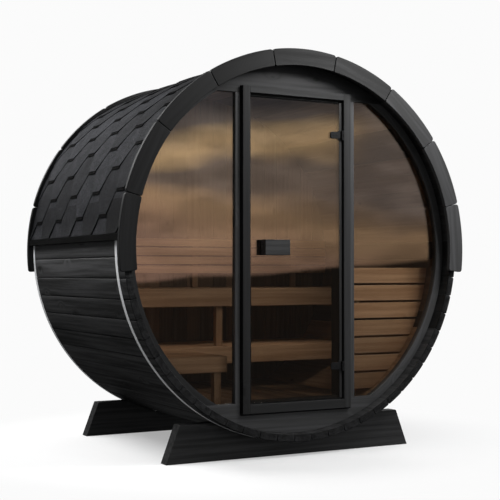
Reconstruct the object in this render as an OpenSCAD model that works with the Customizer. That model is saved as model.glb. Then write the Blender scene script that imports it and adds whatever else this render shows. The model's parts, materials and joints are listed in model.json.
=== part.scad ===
// Barrel sauna: a horizontal stave barrel on two cradles, with a glazed front and a shingle roof.
// The origin is on the ground under the centre. +Y runs from the glazed front to the rear wall.

/* [Barrel] */
// Outer radius of the staves
barrel_radius = 1050; // [900:10:1260]
// Length of the staves
barrel_length = 1450; // [1200:10:2400]
// Thickness of the staves
stave_thickness = 40; // [28:1:48]
// Height of the lowest stave above the ground
ground_clearance = 82; // [60:1:120]
// Gap between a piece and the round face that it is seated on
seat_gap = 0.3; // [0.2:0.1:0.5]
// Gap between two neighbouring parts of the barrel wall
wall_joint = 0.1; // [0.1:0.1:1]

/* [Roof] */
// Thickness of the shingle roof skin
roof_thickness = 16; // [8:1:24]
// Height of the roof's lower edge above the barrel axis
eave_height = 65; // [40:1:120]
// Height of an eave batten
batten_height = 36; // [24:1:60]
// How far an eave batten stands out from the staves
batten_depth = 26; // [20:1:32]

/* [Fascia boards] */
// Number of boards in one arched fascia
fascia_count = 9; // [7:1:13]
// Thickness of a fascia board
fascia_thickness = 25; // [18:1:32]
// How far the fascia stands outside the staves
fascia_outer_lip = 33; // [28:1:60]
// How far the fascia reaches inside the staves
fascia_inner_lip = 20; // [5:1:40]
// Angle that the fascia reaches below the barrel axis on each side
fascia_end_angle = 7; // [3:1:12]
// Gap between two fascia boards
fascia_gap = 1; // [0.5:0.5:4]

/* [Straps] */
// Width of a tension strap
strap_width = 30; // [20:1:50]
// Thickness of a tension strap
strap_thickness = 1.5; // [1:0.5:3]
// Distance of a strap's centre from the front stave ends
front_strap_setback = 97; // [60:1:140]
// Distance of a strap's centre from the rear stave ends
rear_strap_setback = 20; // [18:1:140]

/* [Cradles] */
// Width of a cradle at the ground
cradle_width_bottom = 1536; // [1300:1:1700]
// Width of a cradle at its top
cradle_width_top = 1382; // [1150:1:1500]
// Height of a cradle at its ends
cradle_height = 203; // [150:1:260]
// Thickness of a cradle
cradle_thickness = 74; // [45:1:100]
// Distance of a cradle's outer face from the stave ends
cradle_setback = 101; // [80:1:200]

/* [End walls] */
// Distance of the front wall's outer face from the front stave ends
front_wall_setback = 70; // [50:1:120]
// Distance of the rear wall's outer face from the rear stave ends
rear_wall_setback = 40; // [20:1:120]
// Thickness of the end walls
end_wall_thickness = 40; // [28:1:60]
// Radial width of the ring round the windows
ring_width = 45; // [36:1:80]
// Height of the solid panels above and below the windows, at their middle
end_panel_height = 177; // [150:1:300]
// Width of a mullion between a window and the door frame
mullion_width = 36; // [24:1:60]

/* [Glass] */
// Thickness of a fixed window pane
window_glass_thickness = 6; // [4:1:10]
// Depth of the groove that a window pane sits in
glass_groove = 10; // [6:1:16]
// Gap between a pane and its groove
glass_clearance = 0.5; // [0.3:0.1:3]
// Setback of the window glass behind the wall's outer face
glass_setback = 16; // [10:1:33]

/* [Door frame] */
// Outer width of the door frame
door_frame_width = 688; // [570:1:760]
// Distance of the door frame's top from the staves at the barrel's crown
door_top_drop = 140; // [120:1:240]
// Distance of the door frame's bottom from the staves at the barrel's lowest point
door_bottom_rise = 121; // [110:1:160]
// How far the door frame stands out of the front wall
door_frame_proud = 20; // [10:1:40]
// Width of a jamb's face
jamb_width = 44; // [36:1:60]
// Height of the head's face
head_height = 36; // [30:1:60]
// Height of the sill's face
sill_height = 49; // [40:1:70]
// Width of the stop that the door closes against
stop_width = 20; // [14:1:30]
// Depth of the rebate in front of the stop
rebate_depth = 26; // [24:1:40]

/* [Door leaf] */
// Thickness of the door glass
door_glass_thickness = 8; // [6:1:10]
// Gap between the door glass and the frame on the handle side and at the sill
leaf_gap = 8; // [6:1:12]
// Gap between the door glass and the frame at the head
leaf_head_gap = 15; // [6:1:17]
// Gap between the door glass and the frame on the hinge side
leaf_hinge_gap = 10; // [9:1:22]
// Gap between the door glass and the stop
leaf_stop_gap = 6; // [5.5:0.5:9]
// Width of the handle blocks
handle_width = 154; // [100:1:200]
// Height of the handle blocks
handle_height = 84; // [50:1:120]
// Depth of the handle block in front of the glass
handle_depth = 50; // [30:1:70]
// Depth of the handle block behind the glass
inner_handle_depth = 46; // [30:1:70]
// Distance of the handle blocks from the glass edge
handle_inset = 64; // [30:1:120]
// Height of the handle's middle above the barrel's axis
handle_rise = 2; // [-200:1:200]

/* [Hinges] */
// Distance of the upper hinge from the glass's top edge
upper_hinge_inset = 183; // [80:1:300]
// Distance of the lower hinge from the glass's bottom edge
lower_hinge_inset = 176; // [80:1:300]
// Length of a hinge
hinge_length = 54; // [40:1:70]
// Width of the hinge plate on the glass
hinge_plate_width = 64; // [36:1:80]
// Height of the hinge plate on the glass
hinge_plate_height = 38; // [30:1:50]
// Width of the plate's heel, which is as long as the hinge
hinge_heel_width = 14; // [8:1:24]
// Thickness of the hinge plate on the glass
hinge_plate_thickness = 6; // [4:1:7]
// Thickness of the hinge plate on the jamb
bracket_plate_thickness = 3; // [2:1:5]
// Gap between the hinge plate on the glass and the knuckle
knuckle_plate_gap = 3; // [2:0.5:4]
// Gap between two knuckles along the pin
knuckle_gap = 0.5; // [0.3:0.1:1]
// Diameter of a hinge knuckle
knuckle_diameter = 13; // [12:0.5:14]
// Diameter of the hinge pin
pin_diameter = 6; // [5:0.5:7]
// Radial clearance of the hinge pin
pin_clearance = 0.3; // [0.2:0.1:0.5]
// Distance of the hinge pin from the jamb
pin_jamb_distance = 11; // [10:0.5:13]
// Distance of the hinge pin in front of the glass
pin_glass_distance = 8; // [8:0.5:10]

/* [Floor and benches] */
// Height of the sill's top above the floor
floor_step = 2; // [0:1:8]
// Thickness of the floor boards
floor_thickness = 28; // [20:1:40]
// Height of the upper bench above the floor
upper_bench_height = 613; // [560:1:710]
// Height of the lower bench and of the side bench above the floor
lower_bench_height = 261; // [210:1:330]
// Thickness of the bench boards
bench_board = 28; // [22:1:40]
// Distance of the upper bench's front from the front stave ends
upper_bench_front = 851; // [800:1:900]
// Distance of the lower bench's front from the front stave ends
lower_bench_front = 790; // [700:1:795]
// Height of the upper bench's front board
upper_board_height = 110; // [80:1:140]
// Height of the lower bench's front board
lower_board_height = 100; // [80:1:140]
// Side of a bench post
post_width = 42; // [34:1:60]
// Distance of the upper bench's post left of the centre
upper_post_offset = 62; // [40:1:100]
// Distance of the side bench's edge left of the centre
side_bench_edge = 398; // [350:1:450]
// Distance of the side bench's front from the front stave ends
side_bench_front = 130; // [115:1:160]
// Height of the side bench's front board
side_board_height = 86; // [60:1:100]
// Distance of the side bench's leg from the bench's edge
side_leg_inset = 22; // [10:1:60]

/* [Backrest] */
// Number of slats in the backrest
backrest_slats = 4; // [3:1:5]
// Height of a backrest slat
backrest_slat_height = 48; // [40:1:56]
// Gap between two backrest slats
backrest_gap = 9.5; // [5:0.5:20]
// Thickness of a backrest slat
backrest_slat_thickness = 20; // [15:1:28]
// Thickness of the backrest's bearers
bearer_thickness = 22; // [15:1:30]
// Width of a bearer behind the backrest
bearer_width = 40; // [30:1:60]
// Height of the backrest's lower edge above the upper bench
backrest_lift = 92; // [60:1:140]
// Gap between the ends of the backrest and the staves, at its lower edge
backrest_end_gap = 12; // [5:1:30]
// Distance of the outer bearers from the ends of the backrest
bearer_inset = 227; // [60:1:300]

/* [Guard] */
// Number of boards in the guard on the right
guard_boards_count = 7; // [5:1:8]
// Height of a guard board
guard_board_height = 90; // [70:1:95]
// Gap between two guard boards
guard_gap = 12; // [8:1:20]
// Thickness of a guard board
guard_board_thickness = 20; // [15:1:28]
// Height of the lowest guard board above the floor
guard_lift = 34; // [20:1:60]
// Distance of the guard's end from the centre
guard_edge = 400; // [380:1:440]
// Distance of the guard's face from the front stave ends
guard_front = 215; // [190:1:260]
// Width of the guard's end post
guard_post_width = 45; // [36:1:60]
// Depth of the guard's end post
guard_post_depth = 106; // [60:1:120]

/* [Hidden] */
$fn = 96;

black_stain = "#232323";
shingle_grey = "#3a3a3c";
strap_grey = "#b9bbbc";
inner_wood = "#b98a5e";
bronze_glass = [0.45, 0.35, 0.27, 0.45];
hinge_black = "#151515";

axis_height = ground_clearance + barrel_radius;
inner_radius = barrel_radius - stave_thickness;
front_ends = -barrel_length / 2;
rear_ends = barrel_length / 2;
front_wall_face = front_ends + front_wall_setback;
front_wall_back = front_wall_face + end_wall_thickness;
rear_wall_face = rear_ends - rear_wall_setback;
rear_wall_inner = rear_wall_face - end_wall_thickness;
window_radius = inner_radius - ring_width;
window_cut_height = inner_radius - end_panel_height;
wall_segments = 12;
segment_angle = 360 / wall_segments;
eave_angle = asin(eave_height / barrel_radius);
roof_radius = barrel_radius + roof_thickness;
seat_radius = barrel_radius + seat_gap;
wall_joint_angle = wall_joint / barrel_radius * 180 / PI;
// How far a cut runs past the piece that it cuts
overcut = 1;

frame_half = door_frame_width / 2;
frame_top = axis_height + inner_radius - door_top_drop;
frame_bottom = axis_height - inner_radius + door_bottom_rise;
frame_face = front_wall_face - door_frame_proud;
opening_half = frame_half - jamb_width;
opening_top = frame_top - head_height;
opening_bottom = frame_bottom + sill_height;
stop_face = frame_face + rebate_depth;
leaf_back = stop_face - leaf_stop_gap;
leaf_front = leaf_back - door_glass_thickness;
leaf_left = -opening_half + leaf_gap;
leaf_right = opening_half - leaf_hinge_gap;
leaf_bottom = opening_bottom + leaf_gap;
leaf_top = opening_top - leaf_head_gap;
pin_x = opening_half - pin_jamb_distance;
pin_y = leaf_front - pin_glass_distance;
upper_hinge_z = leaf_top - upper_hinge_inset;
lower_hinge_z = leaf_bottom + lower_hinge_inset;

floor_top = opening_bottom - floor_step;
upper_bench_top = floor_top + upper_bench_height;
lower_bench_top = floor_top + lower_bench_height;

// A barrel-wide cylinder along Y from y0 to y1.
module barrel_cylinder(r, y0, y1) {
    translate([0, y1, axis_height])
        rotate([90, 0, 0])
            cylinder(r = r, h = y1 - y0, $fn = 180);
}

// A ring sector round the barrel axis, seen from the front with 0 degrees at +X and 90 at the top.
module ring_sector(r0, r1, a0, a1, y0, y1) {
    translate([0, 0, axis_height])
        rotate([90, 0, 0])
            translate([0, 0, -y1])
                rotate([0, 0, a0])
                    rotate_extrude(angle = a1 - a0, $fn = 360)
                        translate([r0, 0])
                            square([r1 - r0, y1 - y0]);
}

// A box from its two corners.
module block(x0, x1, y0, y1, z0, z1) {
    translate([x0, y0, z0])
        cube([x1 - x0, y1 - y0, z1 - z0]);
}

// A board across the room, cut to the round of the barrel's inside.
module room_board(x0, x1, y0, y1, z0, z1) {
    intersection() {
        block(x0, x1, y0, y1, z0, z1);
        barrel_cylinder(inner_radius - seat_gap, y0 - overcut, y1 + overcut);
    }
}

// Five staves of the barrel, numbered like the hours of a clock face seen from the front.
module barrel_wall(hour) {
    middle = 90 - hour * segment_angle;
    color(black_stain)
        ring_sector(inner_radius, barrel_radius, middle - (segment_angle - wall_joint_angle) / 2,
            middle + (segment_angle - wall_joint_angle) / 2, front_ends, rear_ends);
}

module roof_half(a0, a1) {
    color(shingle_grey)
        ring_sector(seat_radius, roof_radius, a0, a1, front_ends, rear_ends);
}

module eave_batten(side) {
    x0 = barrel_radius * cos(eave_angle);
    x1 = barrel_radius + batten_depth;
    z1 = axis_height + eave_height;
    color(shingle_grey)
        difference() {
            mirror([side < 0 ? 1 : 0, 0, 0])
                block(x0, x1, front_ends, rear_ends,
                    z1 - batten_height, z1);
            barrel_cylinder(seat_radius, front_ends - overcut, rear_ends + overcut);
            ring_sector(barrel_radius, roof_radius, eave_angle, 180 - eave_angle,
                front_ends - overcut, rear_ends + overcut);
        }
}

module eave_batten_pair() {
    eave_batten(-1);
    eave_batten(1);
}

module fascia(y0) {
    span = 180 + 2 * fascia_end_angle;
    outer = barrel_radius + fascia_outer_lip;
    gap_angle = fascia_gap / outer * 180 / PI;
    piece = (span - (fascia_count - 1) * gap_angle) / fascia_count;
    color(black_stain)
        for (i = [0 : fascia_count - 1]) {
            start = -fascia_end_angle + i * (piece + gap_angle);
            ring_sector(inner_radius - fascia_inner_lip, outer, start, start + piece,
                y0, y0 + fascia_thickness);
        }
}

// A strap runs round the lower half, from one eave batten to the other.
module strap(y_middle) {
    end_angle = asin((eave_height - batten_height) / barrel_radius);
    color(strap_grey)
        ring_sector(seat_radius, seat_radius + strap_thickness, -180 - end_angle, end_angle,
            y_middle - strap_width / 2, y_middle + strap_width / 2);
}

// A cradle board with the barrel's round cut out of its top and a shallow notch for a strap.
module cradle(y0, strap_middle) {
    notch = seat_radius + strap_thickness + seat_gap;
    color(black_stain)
        difference() {
            translate([0, y0 + cradle_thickness, 0])
                rotate([90, 0, 0])
                    linear_extrude(height = cradle_thickness)
                        polygon([
                            [-cradle_width_bottom / 2, 0], [cradle_width_bottom / 2, 0],
                            [cradle_width_top / 2, cradle_height],
                            [-cradle_width_top / 2, cradle_height]
                        ]);
            barrel_cylinder(seat_radius, y0 - overcut, y0 + cradle_thickness + overcut);
            barrel_cylinder(notch, strap_middle - strap_width / 2 - seat_gap,
                strap_middle + strap_width / 2 + seat_gap);
        }
}

module door_cutout() {
    block(-frame_half, frame_half, front_wall_face - overcut, front_wall_back + overcut,
        frame_bottom, frame_top);
}

// The solid part of the front wall above or below the windows.
module front_panel(side) {
    z_cut = axis_height + side * window_cut_height;
    z_end = axis_height + side * inner_radius;
    color(black_stain)
        difference() {
            room_board(-inner_radius, inner_radius, front_wall_face, front_wall_back,
                min(z_cut, z_end), max(z_cut, z_end));
            door_cutout();
        }
}

// One side of the ring that holds the two windows, with the groove for the glass.
module ring_side(side) {
    glass_y = front_wall_face + glass_setback;
    color(black_stain)
        intersection() {
            difference() {
                barrel_cylinder(inner_radius - seat_gap, front_wall_face, front_wall_back);
                barrel_cylinder(window_radius, front_wall_face - overcut, front_wall_back + overcut);
                barrel_cylinder(window_radius + glass_groove, glass_y, front_wall_back + overcut);
            }
            mirror([side < 0 ? 1 : 0, 0, 0])
                block(frame_half, inner_radius, front_wall_face - overcut, front_wall_back + overcut,
                    axis_height - window_cut_height, axis_height + window_cut_height);
        }
}

module mullion(side) {
    glass_y = front_wall_face + glass_setback;
    color(black_stain)
        mirror([side < 0 ? 1 : 0, 0, 0])
            difference() {
                block(frame_half, frame_half + mullion_width, front_wall_face, front_wall_back,
                    axis_height - window_cut_height, axis_height + window_cut_height);
                block(frame_half + mullion_width - glass_groove, frame_half + mullion_width + overcut,
                    glass_y, front_wall_back + overcut,
                    axis_height - window_cut_height - overcut,
                    axis_height + window_cut_height + overcut);
            }
}

module mullion_pair() {
    mullion(-1);
    mullion(1);
}

// A fixed pane in the grooves of the ring and the mullion.
module window(side) {
    glass_y = front_wall_face + glass_setback;
    x0 = frame_half + mullion_width - glass_groove + glass_clearance;
    color(bronze_glass)
        mirror([side < 0 ? 1 : 0, 0, 0])
            intersection() {
                block(x0, inner_radius, glass_y, glass_y + window_glass_thickness,
                    axis_height - window_cut_height + glass_clearance,
                    axis_height + window_cut_height - glass_clearance);
                barrel_cylinder(window_radius + glass_groove - glass_clearance,
                    glass_y - overcut, glass_y + window_glass_thickness + overcut);
            }
}

module rear_wall() {
    color(black_stain)
        barrel_cylinder(inner_radius - seat_gap, rear_wall_inner, rear_wall_face);
}

module floor_boards() {
    color(inner_wood)
        room_board(-inner_radius, inner_radius, front_wall_back, rear_wall_inner,
            floor_top - floor_thickness, floor_top);
}

// A jamb: the face piece with the stop behind the door leaf.
module door_jamb(side) {
    color(black_stain)
        mirror([side < 0 ? 1 : 0, 0, 0])
            union() {
                block(opening_half, frame_half, frame_face, front_wall_back, frame_bottom, frame_top);
                block(opening_half - stop_width, opening_half + overcut, stop_face, front_wall_back,
                    opening_bottom, opening_top);
            }
}

module door_head() {
    color(black_stain)
        union() {
            block(-opening_half, opening_half, frame_face, front_wall_back,
                opening_top, frame_top);
            block(-opening_half + stop_width, opening_half - stop_width, stop_face, front_wall_back,
                opening_top - stop_width, opening_top + overcut);
        }
}

module door_sill() {
    color(black_stain)
        union() {
            block(-opening_half, opening_half, frame_face, front_wall_back,
                frame_bottom, opening_bottom);
            block(-opening_half + stop_width, opening_half - stop_width, stop_face, front_wall_back,
                opening_bottom - overcut, opening_bottom + stop_width);
        }
}

module door_glass() {
    color(bronze_glass)
        block(leaf_left, leaf_right, leaf_front, leaf_back, leaf_bottom, leaf_top);
}

// A block on each side of the door glass.
module door_handle() {
    x0 = leaf_left + handle_inset;
    z0 = axis_height + handle_rise - handle_height / 2;
    color(hinge_black) {
        block(x0, x0 + handle_width, leaf_front - handle_depth, leaf_front,
            z0, z0 + handle_height);
        block(x0, x0 + handle_width, leaf_back, leaf_back + inner_handle_depth,
            z0, z0 + handle_height);
    }
}

// One third of a hinge's knuckles is on the leaf and the outer two are on the bracket.
knuckle_length = hinge_length / 3;

module pin_rod(d, z0, z1) {
    translate([pin_x, pin_y, z0])
        cylinder(d = d, h = z1 - z0);
}

// The plate on the door glass, with the middle knuckle round the pin.
module hinge_leaf(z) {
    half = knuckle_length / 2 - knuckle_gap;
    plate_right = pin_x - knuckle_diameter / 2 - knuckle_plate_gap;
    color(hinge_black)
        difference() {
            union() {
                block(plate_right - hinge_plate_width, plate_right,
                    leaf_front - hinge_plate_thickness, leaf_front,
                    z - hinge_plate_height / 2, z + hinge_plate_height / 2);
                block(plate_right - hinge_heel_width, plate_right,
                    leaf_front - hinge_plate_thickness / 2, leaf_front,
                    z - hinge_length / 2, z + hinge_length / 2);
                block(plate_right - overcut, pin_x, leaf_front - hinge_plate_thickness,
                    leaf_front - hinge_plate_thickness / 2, z - half, z + half);
                pin_rod(knuckle_diameter, z - half, z + half);
            }
            pin_rod(pin_diameter + 2 * pin_clearance, z - half - overcut, z + half + overcut);
        }
}

// The plate on the jamb, with the outer knuckles and the pin.
module hinge_bracket(z) {
    half = knuckle_length / 2;
    plate = bracket_plate_thickness;
    color(hinge_black)
        union() {
            block(opening_half - plate, opening_half, pin_y, stop_face,
                z - hinge_length / 2, z + hinge_length / 2);
            for (end = [-1, 1]) {
                z0 = end > 0 ? z + half : z - hinge_length / 2;
                z1 = end > 0 ? z + hinge_length / 2 : z - half;
                block(pin_x, opening_half, pin_y - plate, pin_y + plate, z0, z1);
                pin_rod(knuckle_diameter, z0, z1);
            }
            pin_rod(pin_diameter, z - half - overcut, z + half + overcut);
        }
}

module hinge_leaf_pair() {
    hinge_leaf(upper_hinge_z);
    hinge_leaf(lower_hinge_z);
}

module hinge_bracket_pair() {
    hinge_bracket(upper_hinge_z);
    hinge_bracket(lower_hinge_z);
}

module upper_bench_seat() {
    color(inner_wood)
        room_board(-inner_radius, inner_radius, front_ends + upper_bench_front + bench_board,
            rear_wall_inner, upper_bench_top - bench_board, upper_bench_top);
}

module upper_bench_board() {
    y0 = front_ends + upper_bench_front;
    color(inner_wood)
        room_board(-inner_radius, inner_radius, y0, y0 + bench_board,
            upper_bench_top - upper_board_height, upper_bench_top);
}

module upper_bench_post() {
    y0 = front_ends + upper_bench_front + bench_board;
    color(inner_wood)
        block(-upper_post_offset - post_width / 2, -upper_post_offset + post_width / 2,
            y0, y0 + post_width, lower_bench_top, upper_bench_top - bench_board);
}

module lower_bench_seat() {
    color(inner_wood)
        room_board(-inner_radius, inner_radius, front_ends + lower_bench_front + bench_board,
            rear_wall_inner, lower_bench_top - bench_board, lower_bench_top);
}

module lower_bench_board() {
    y0 = front_ends + lower_bench_front;
    color(inner_wood)
        room_board(-inner_radius, inner_radius, y0, y0 + bench_board,
            lower_bench_top - lower_board_height, lower_bench_top);
}

module side_bench_seat() {
    color(inner_wood)
        room_board(-inner_radius, -side_bench_edge, front_ends + side_bench_front + bench_board,
            front_ends + lower_bench_front, lower_bench_top - bench_board, lower_bench_top);
}

module side_bench_board() {
    y0 = front_ends + side_bench_front;
    color(inner_wood)
        room_board(-inner_radius, -side_bench_edge, y0, y0 + bench_board,
            lower_bench_top - side_board_height, lower_bench_top);
}

module side_bench_leg() {
    x1 = -side_bench_edge - side_leg_inset;
    y0 = front_ends + side_bench_front + bench_board;
    color(inner_wood)
        block(x1 - post_width, x1, y0, y0 + post_width, floor_top, lower_bench_top - bench_board);
}

// Half the width of the room at a height.
function room_half(z) = sqrt(pow(inner_radius, 2) - pow(z - axis_height, 2));

backrest_bottom = upper_bench_top + backrest_lift;
backrest_pitch = backrest_slat_height + backrest_gap;
backrest_face = rear_wall_inner - bearer_thickness - backrest_slat_thickness;
backrest_half = room_half(backrest_bottom) - backrest_end_gap;
outer_bearer_x = backrest_half - bearer_inset - bearer_width / 2;

module backrest_slat_set() {
    color(inner_wood)
        for (i = [0 : backrest_slats - 1])
            block(-backrest_half, backrest_half, backrest_face,
                backrest_face + backrest_slat_thickness,
                backrest_bottom + i * backrest_pitch,
                backrest_bottom + i * backrest_pitch + backrest_slat_height);
}

module backrest_bearer_set() {
    color(inner_wood)
        for (x = [-outer_bearer_x, 0, outer_bearer_x])
            block(x - bearer_width / 2, x + bearer_width / 2, rear_wall_inner - bearer_thickness,
                rear_wall_inner, upper_bench_top,
                backrest_bottom + backrest_slats * backrest_pitch - backrest_gap);
}

guard_pitch = guard_board_height + guard_gap;
guard_bottom = floor_top + guard_lift;

module guard_board_set() {
    y0 = front_ends + guard_front;
    color(inner_wood)
        for (i = [0 : guard_boards_count - 1])
            room_board(guard_edge, inner_radius, y0, y0 + guard_board_thickness,
                guard_bottom + i * guard_pitch, guard_bottom + i * guard_pitch + guard_board_height);
}

module guard_post() {
    y0 = front_ends + guard_front + guard_board_thickness;
    color(black_stain)
        block(guard_edge, guard_edge + guard_post_width, y0, y0 + guard_post_depth,
            floor_top, guard_bottom + guard_boards_count * guard_pitch - guard_gap);
}

front_strap_y = front_ends + front_strap_setback;
rear_strap_y = rear_ends - rear_strap_setback;
front_cradle_y = front_ends + cradle_setback;
rear_cradle_y = rear_ends - cradle_setback - cradle_thickness;

barrel_wall(1);  // barrel_wall_01
barrel_wall(2);  // barrel_wall_02
barrel_wall(3);  // barrel_wall_03
barrel_wall(4);  // barrel_wall_04
barrel_wall(5);  // barrel_wall_05
barrel_wall(6);  // barrel_wall_06
barrel_wall(7);  // barrel_wall_07
barrel_wall(8);  // barrel_wall_08
barrel_wall(9);  // barrel_wall_09
barrel_wall(10);  // barrel_wall_10
barrel_wall(11);  // barrel_wall_11
barrel_wall(12);  // barrel_wall_12
roof_half(90, 180 - eave_angle);  // roof_left
roof_half(eave_angle, 90);  // roof_right
eave_batten_pair();  // eave_battens
fascia(front_ends - fascia_thickness);  // front_fascia
fascia(rear_ends);  // rear_fascia
strap(front_strap_y);  // front_strap
strap(rear_strap_y);  // rear_strap
cradle(front_cradle_y, front_strap_y);  // front_cradle
cradle(rear_cradle_y, rear_strap_y);  // rear_cradle
front_panel(1);  // front_panel_top
front_panel(-1);  // front_panel_bottom
ring_side(-1);  // ring_left
ring_side(1);  // ring_right
mullion_pair();  // mullions
window(-1);  // window_left
window(1);  // window_right
rear_wall();
floor_boards();  // floor
door_jamb(-1);  // door_jamb_left
door_jamb(1);  // door_jamb_right
door_head();
door_sill();
door_glass();
door_handle();
hinge_leaf_pair();  // hinge_leaves
hinge_bracket_pair();  // hinge_brackets
upper_bench_seat();
upper_bench_board();
upper_bench_post();
lower_bench_seat();
lower_bench_board();
side_bench_seat();
side_bench_board();
side_bench_leg();
backrest_slat_set();  // backrest_slats
backrest_bearer_set();  // backrest_bearers
guard_board_set();  // guard_boards
guard_post();
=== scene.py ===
"""Barrel sauna: the looks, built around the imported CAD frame. All lengths are in metres."""
import json
import random
from math import (acos, asin, atan2, ceil, copysign, cos, degrees, floor, hypot, radians, sin,
                  sqrt)

import bmesh
import bpy
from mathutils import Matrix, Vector


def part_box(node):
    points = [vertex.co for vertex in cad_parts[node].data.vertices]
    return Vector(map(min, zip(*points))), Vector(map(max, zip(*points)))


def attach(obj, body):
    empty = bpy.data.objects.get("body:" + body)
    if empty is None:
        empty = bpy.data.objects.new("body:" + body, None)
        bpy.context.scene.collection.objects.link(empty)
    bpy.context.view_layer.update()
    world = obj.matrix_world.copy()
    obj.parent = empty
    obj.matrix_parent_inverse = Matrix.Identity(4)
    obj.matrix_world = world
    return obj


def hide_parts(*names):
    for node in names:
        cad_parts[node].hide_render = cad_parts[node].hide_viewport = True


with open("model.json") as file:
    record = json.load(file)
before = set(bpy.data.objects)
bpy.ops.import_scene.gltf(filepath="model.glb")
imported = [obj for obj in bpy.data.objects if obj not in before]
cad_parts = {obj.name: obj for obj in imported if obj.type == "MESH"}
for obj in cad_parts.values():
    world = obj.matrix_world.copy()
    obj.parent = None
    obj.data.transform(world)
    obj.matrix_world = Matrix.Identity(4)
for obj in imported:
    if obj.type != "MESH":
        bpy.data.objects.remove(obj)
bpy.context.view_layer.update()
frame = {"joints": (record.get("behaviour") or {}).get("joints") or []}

rng = random.Random(11)

# ---- Sizes that every piece shares, read from the CAD nodes ----
wall_low, wall_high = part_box("barrel_wall_03")
RADIUS = wall_high.x
AXIS_Z = (wall_low.z + wall_high.z) / 2
FRONT_END = wall_low.y
REAR_END = wall_high.y
INNER_RADIUS = round(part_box("rear_wall")[1].x, 3)
FRONT_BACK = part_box("front_panel_top")[1].y
REAR_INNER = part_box("rear_wall")[0].y
FRAME_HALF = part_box("door_jamb_right")[1].x
EAVE_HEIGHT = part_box("eave_battens")[1].z - AXIS_Z
EAVE_ANGLE = degrees(asin(EAVE_HEIGHT / RADIUS))

STAVES_PER_WALL = 5
STAVE_ANGLE = 360 / 12 / STAVES_PER_WALL
STAVE_UNEVEN = 0.0009
STAVE_GROOVE_DEPTH = 0.0085
STAVE_GROOVE_HALF = 0.0052
STAVE_GAP_HALF = 0.0007
INNER_GROOVE = 0.0018
END_CHAMFER = 0.0032

# Staves just under the eaves are toned paler: painted light on the top of the wall, where the
# light from above falls.
EAVE_PAINTED_LIGHT_ANGLE = radians(-2)
EAVE_PAINTED_LIGHT_REACH = radians(16)
EAVE_PAINTED_LIGHT_TONE = 2.4
# The right wall's inside gets little light, and its low staves more than the others.
RIGHT_WALL_SHADE = (0.4, 2.0)
LOW_STAVES = -0.42

X_AXIS = Vector((1, 0, 0))
Y_AXIS = Vector((0, 1, 0))
Z_AXIS = Vector((0, 0, 1))


def polar(angle, radius):
    """A point in the XZ plane round the barrel's axis. 0 degrees is +X and 90 is up."""
    turn = radians(angle)
    return (radius * cos(turn), AXIS_Z + radius * sin(turn))


def wall_x(z):
    """Half the room's width at a height."""
    return sqrt(INNER_RADIUS**2 - (z - AXIS_Z) ** 2)


def room_half(low, high):
    """Half the room's width between two heights, where it is least."""
    return min(wall_x(low), wall_x(high))


# ---- Meshes ----
def straight_grain(along, across):
    """Grain coordinates of a straight board: along the grain, across it and through it."""
    through = along.cross(across)
    return lambda p: Vector((p.dot(along), p.dot(across), p.dot(through)))


ALONG_X = straight_grain(X_AXIS, Z_AXIS)
ALONG_X_FLAT = straight_grain(X_AXIS, Y_AXIS)
ALONG_Y = straight_grain(Y_AXIS, X_AXIS)
ALONG_Z = straight_grain(Z_AXIS, X_AXIS)


def round_grain(p):
    """Grain along the barrel, with the width measured round it."""
    angle = atan2(p.z - AXIS_Z, p.x)
    radius = hypot(p.x, p.z - AXIS_Z)
    return Vector((p.y, angle * RADIUS, radius))


def ring_grain(p):
    """Grain that follows the round of the end walls."""
    angle = atan2(p.z - AXIS_Z, p.x)
    radius = hypot(p.x, p.z - AXIS_Z)
    return Vector((angle * RADIUS, radius, p.y))


def soften(bm, width, segments=2, least_angle=28):
    """Rounds off every edge that is sharper than an angle."""
    bmesh.ops.recalc_face_normals(bm, faces=bm.faces)
    sharp = [e for e in bm.edges if len(e.link_faces) == 2
             and e.calc_face_angle() > radians(least_angle)]
    bmesh.ops.bevel(bm, geom=sharp, offset=width, segments=segments, profile=0.5,
                    affect="EDGES", clamp_overlap=True)
    return bm


def loft(sections):
    """A closed body through outlines in the XZ plane, each given with its y."""
    bm = bmesh.new()
    loops = [[bm.verts.new((x, y, z)) for x, z in outline] for y, outline in sections]
    bm.faces.new(loops[0])
    bm.faces.new(loops[-1][::-1])
    for near, far in zip(loops, loops[1:]):
        for i in range(len(near)):
            j = (i + 1) % len(near)
            bm.faces.new((near[i], far[i], far[j], near[j]))
    bmesh.ops.recalc_face_normals(bm, faces=bm.faces)
    return bm


def extrude(outline, y0, y1, bevel=0.002, segments=2):
    """A board with an outline in the XZ plane, from y0 to y1."""
    return soften(loft([(y0, outline), (y1, outline)]), bevel, segments)


def block(low, high, bevel=0.002, segments=2):
    """A rectangular board between two corners."""
    outline = [(low[0], low[2]), (high[0], low[2]), (high[0], high[2]), (low[0], high[2])]
    return extrude(outline, low[1], high[1], bevel, segments)


def arc(angle0, angle1, radius, steps):
    """Points along an arc round the barrel's axis."""
    return [polar(angle0 + (angle1 - angle0) * i / steps, radius) for i in range(steps + 1)]


def placed(name, data):
    """A new object in the scene."""
    obj = bpy.data.objects.new(name, data)
    bpy.context.scene.collection.objects.link(obj)
    return obj


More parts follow.
